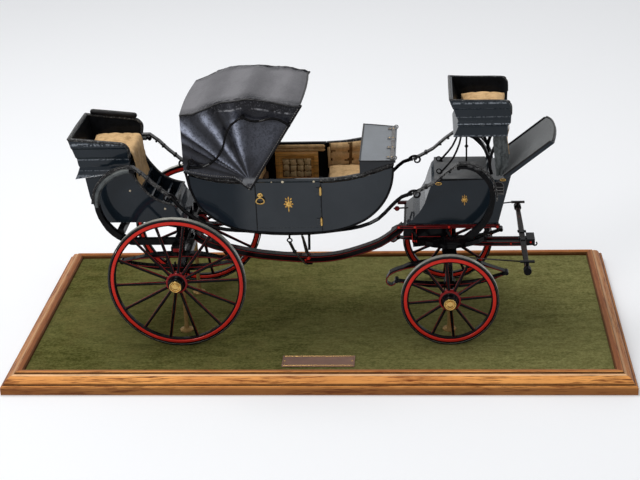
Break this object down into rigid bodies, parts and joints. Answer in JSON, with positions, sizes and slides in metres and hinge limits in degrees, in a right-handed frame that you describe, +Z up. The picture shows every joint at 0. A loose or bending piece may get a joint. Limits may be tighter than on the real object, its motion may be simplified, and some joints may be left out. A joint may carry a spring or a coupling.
{
  "type": "model horse carriage",
  "caption": "Scale model of an open horse carriage on a baize-topped plinth: boat-shaped body hung on C springs, folding leather hood, driving seat, footman's seat and spoked wheels.",
  "frame": {"origin": "centre of the plinth's underside", "axes": "+X is the front of the carriage and runs along the plinth's length, +Y is the carriage's left side, +Z is up"},
  "size_m": [0.7, 0.354, 0.3068],
  "materials": {
    "baize": "short wool nap",
    "oak": "satin varnish",
    "copper_plate": "brushed, toned copper brown",
    "tyre_steel": "dull steel",
    "wheel_paint": "gloss red and black",
    "black_iron": "satin black",
    "perch_paint": "satin black paint with red lining",
    "black_leather": "polished",
    "slate_paint": "gloss coach varnish",
    "brass": "polished",
    "bench_wood": "plain",
    "tan_leather": "worn, soft",
    "hood_leather": "dusty, creased",
    "grey_leather": "worn, matt"
  },
  "bodies": {
    "carriage": {"plinth_board": "baize", "plinth_moulding": "oak", "name_plate": "copper_plate", "rear_axle": "black_iron", "rear_spring_left": "black_iron", "rear_spring_right": "black_iron", "rear_bed": "black_iron", "perch": "perch_paint", "rear_brace_left": "black_leather", "rear_brace_right": "black_leather", "front_brace_left": "black_leather", "front_brace_right": "black_leather", "loop_iron_left": "black_iron", "loop_iron_right": "black_iron", "body_shell": "slate_paint", "rail_rear": "black_leather", "rail_front": "black_leather", "seat_benches": "bench_wood", "rear_cushion": "tan_leather", "front_cushion": "tan_leather", "squab_rear": "tan_leather", "squab_front": "tan_leather", "rear_boot": "slate_paint", "rumble_seat": "slate_paint", "rumble_cushion": "tan_leather", "rumble_fall": "tan_leather", "arm_roll": "black_leather", "coach_boot": "slate_paint", "footboard": "slate_paint", "coach_seat": "slate_paint", "coach_cushion": "tan_leather", "coach_seat_irons": "black_iron", "fore_transom": "black_iron", "hood_leather": "hood_leather", "hood_rear_bow": "black_iron"},
    "fore_carriage": {"front_axle": "black_iron", "front_spring_left": "black_iron", "front_spring_right": "black_iron", "turning_bed": "black_iron", "futchells": "black_iron", "splinter_bar": "black_iron"},
    "wheel_rear_left": {"rear_wheel_left": "wheel_paint", "rear_tyre_left": "tyre_steel"},
    "wheel_rear_right": {"rear_wheel_right": "wheel_paint", "rear_tyre_right": "tyre_steel"},
    "wheel_front_left": {"front_wheel_left": "wheel_paint", "front_tyre_left": "tyre_steel"},
    "wheel_front_right": {"front_wheel_right": "wheel_paint", "front_tyre_right": "tyre_steel"},
    "left_door": {"door_left": "slate_paint"},
    "right_door": {"door_right": "slate_paint"},
    "left_door_handle": {"door_handle_left": "brass"},
    "right_door_handle": {"door_handle_right": "brass"},
    "hood_bow": {"hood_front_bow": "black_iron"},
    "hood_middle": {"hood_mid_bow": "black_iron"},
    "head_irons_lower": {"head_iron_lower_left": "black_iron", "head_iron_lower_right": "black_iron"},
    "head_irons_upper": {"head_iron_upper_left": "black_iron", "head_iron_upper_right": "black_iron"},
    "apron": {"front_apron": "grey_leather"}
  },
  "joints": [
    {"name": "steering", "type": "hinge", "parent": "carriage", "child": "fore_carriage", "pos_m": [0.1496, 0, 0.1172], "axis": [0, 0, 1], "range_deg": [-30, 30]},
    {"name": "rear_left_wheel_spin", "type": "hinge", "parent": "carriage", "child": "wheel_rear_left", "pos_m": [-0.1584, 0.0875, 0.0951], "axis": [0, 1, 0], "continuous": true},
    {"name": "rear_right_wheel_spin", "type": "hinge", "parent": "carriage", "child": "wheel_rear_right", "pos_m": [-0.1584, -0.0875, 0.0951], "axis": [0, 1, 0], "continuous": true},
    {"name": "front_left_wheel_spin", "type": "hinge", "parent": "fore_carriage", "child": "wheel_front_left", "pos_m": [0.1496, 0.0875, 0.0714], "axis": [0, 1, 0], "continuous": true},
    {"name": "front_right_wheel_spin", "type": "hinge", "parent": "fore_carriage", "child": "wheel_front_right", "pos_m": [0.1496, -0.0875, 0.0714], "axis": [0, 1, 0], "continuous": true},
    {"name": "right_door_hinge", "type": "hinge", "parent": "carriage", "child": "right_door", "pos_m": [0.0066, -0.0637, 0.15], "axis": [0, 0, 1], "range_deg": [0, 85]},
    {"name": "left_door_hinge", "type": "hinge", "parent": "carriage", "child": "left_door", "pos_m": [0.0066, 0.0637, 0.15], "axis": [0, 0, -1], "range_deg": [0, 85]},
    {"name": "right_handle_turn", "type": "hinge", "parent": "right_door", "child": "right_door_handle", "pos_m": [-0.0612, -0.0642, 0.19], "axis": [0, 1, 0], "range_deg": [-90, 90]},
    {"name": "left_handle_turn", "type": "hinge", "parent": "left_door", "child": "left_door_handle", "pos_m": [-0.0612, 0.0642, 0.19], "axis": [0, 1, 0], "range_deg": [-90, 90]},
    {"name": "hood_fold", "type": "hinge", "parent": "carriage", "child": "hood_bow", "pos_m": [-0.072, 0, 0.2126], "axis": [0, -1, 0], "range_deg": [0, 62], "deforming": ["hood_leather"]},
    {"name": "hood_middle_fold", "type": "hinge", "parent": "carriage", "child": "hood_middle", "pos_m": [-0.072, 0, 0.2126], "axis": [0, -1, 0], "range_deg": [0, 32]},
    {"name": "head_iron_lower_fold", "type": "hinge", "parent": "carriage", "child": "head_irons_lower", "pos_m": [-0.1385, 0, 0.2265], "axis": [0, -1, 0], "range_deg": [0, 56]},
    {"name": "head_iron_upper_fold", "type": "hinge", "parent": "hood_bow", "child": "head_irons_upper", "pos_m": [-0.0245, 0, 0.2755], "axis": [0, -1, 0], "range_deg": [-90, 0]},
    {"name": "apron_hinge", "type": "hinge", "parent": "carriage", "child": "apron", "pos_m": [0.0905, 0, 0.2273], "axis": [0, 1, 0], "range_deg": [0, 110]}
  ],
  "couplings": [
    {"joint": "hood_middle_fold", "follows": "hood_fold", "ratio": 0.5},
    {"joint": "head_iron_lower_fold", "follows": "hood_fold", "ratio": 0.87},
    {"joint": "head_iron_upper_fold", "follows": "hood_fold", "ratio": -1.385}
  ]
}
